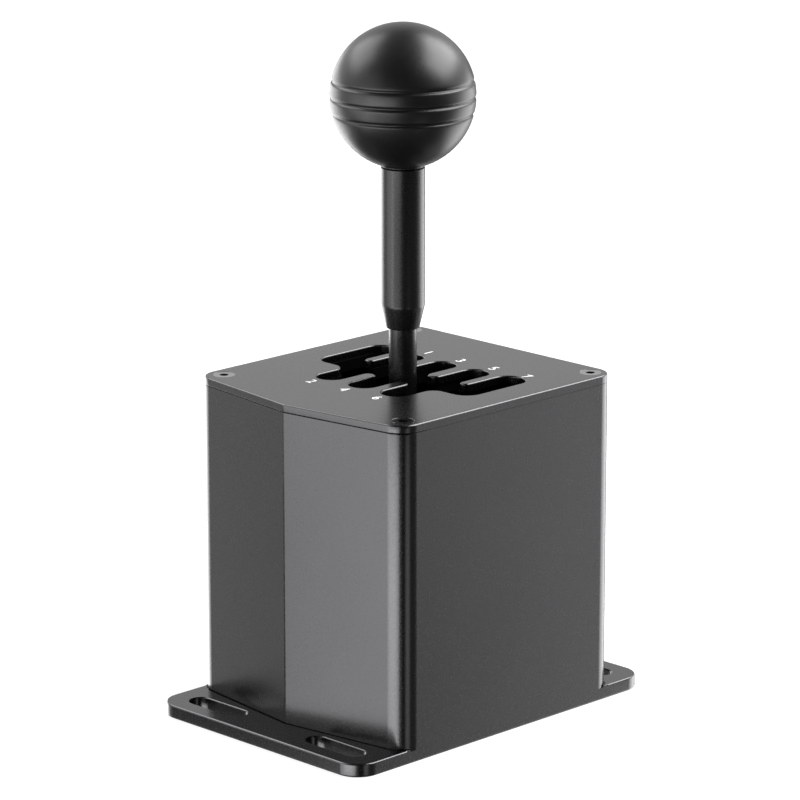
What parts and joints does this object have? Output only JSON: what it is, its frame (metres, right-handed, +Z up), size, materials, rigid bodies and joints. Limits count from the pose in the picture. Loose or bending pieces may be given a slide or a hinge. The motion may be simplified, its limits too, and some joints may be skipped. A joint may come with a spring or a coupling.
{
  "type": "gear shifter",
  "caption": "H-pattern gear shifter for a driving simulator: ball-knob lever on a gimbal in a metal housing with a slotted gate cover and a slotted base flange",
  "frame": {"origin": "centre of the base flange's underside, under the upright lever's axis", "axes": "+X to the driver's right, +Y forward towards the slots of the odd gears, +Z up along the lever"},
  "size_m": [0.104, 0.1484, 0.2499],
  "materials": {
    "dark_anodised": "bead-blasted, dark anodised, satin",
    "cast_aluminium": "cast and machined, matt",
    "black_plastic": "moulded, matt",
    "black_lever": "black, satin",
    "black_steel": "black oxide, satin",
    "knob_black": "satin black, fine grain",
    "bright_screws": "bright zinc",
    "steel": "ground, satin",
    "bronze": "sintered, matt",
    "circuit_board": "solder mask, satin",
    "ribbon": "grey, matt"
  },
  "bodies": {
    "housing_body": {"housing": "dark_anodised", "top_cover": "dark_anodised", "gate_liner": "black_plastic", "cover_screws": "bright_screws", "liner_screws": "steel", "bottom_plate": "dark_anodised", "bottom_screws": "steel", "front_stand": "cast_aluminium", "rear_stand": "cast_aluminium", "stand_screws": "steel", "trunnion_bushes": "bronze", "spring_posts": "steel", "centring_spring_left": "steel", "centring_spring_right": "steel", "sensor_board": "circuit_board", "sensor_standoffs": "steel", "sensor_chip": "black_plastic", "sensor_screws": "steel", "control_board": "circuit_board", "control_chip": "black_plastic", "control_screws": "steel", "board_connectors": "black_plastic", "usb_socket": "steel", "ribbon_cable": "ribbon"},
    "cradle_body": {"cradle": "cast_aluminium", "front_trunnion": "steel", "rear_trunnion": "steel", "rear_circlip": "black_steel", "cross_bushes": "bronze", "centring_rocker": "cast_aluminium", "rocker_screw": "steel", "detent_bracket": "black_steel", "bracket_screws": "steel", "plunger_sleeve": "steel", "plunger_nut": "steel", "detent_spring": "steel", "detent_ball": "steel"},
    "lever_body": {"knob": "knob_black", "knob_insert": "bronze", "lever_sleeve": "black_lever", "lever_rod": "black_lever", "lock_nut": "steel", "lever_hub": "cast_aluminium", "hub_screw": "steel", "cross_pin": "steel", "pin_circlip": "black_steel", "detent_sector": "steel", "magnet_holder": "black_plastic", "tail_magnet": "steel"}
  },
  "joints": [
    {"name": "select", "type": "hinge", "parent": "housing_body", "child": "cradle_body", "pos_m": [0, 0, 0.032], "axis": [0, 1, 0], "range_deg": [-10.5, 10.5], "stiffness_Nm_per_rad": 6, "deforming": ["centring_spring_left", "centring_spring_right"]},
    {"name": "shift", "type": "hinge", "parent": "cradle_body", "child": "lever_body", "pos_m": [0, 0, 0.032], "axis": [-1, 0, 0], "range_deg": [-11.5, 11.5]}
  ]
}
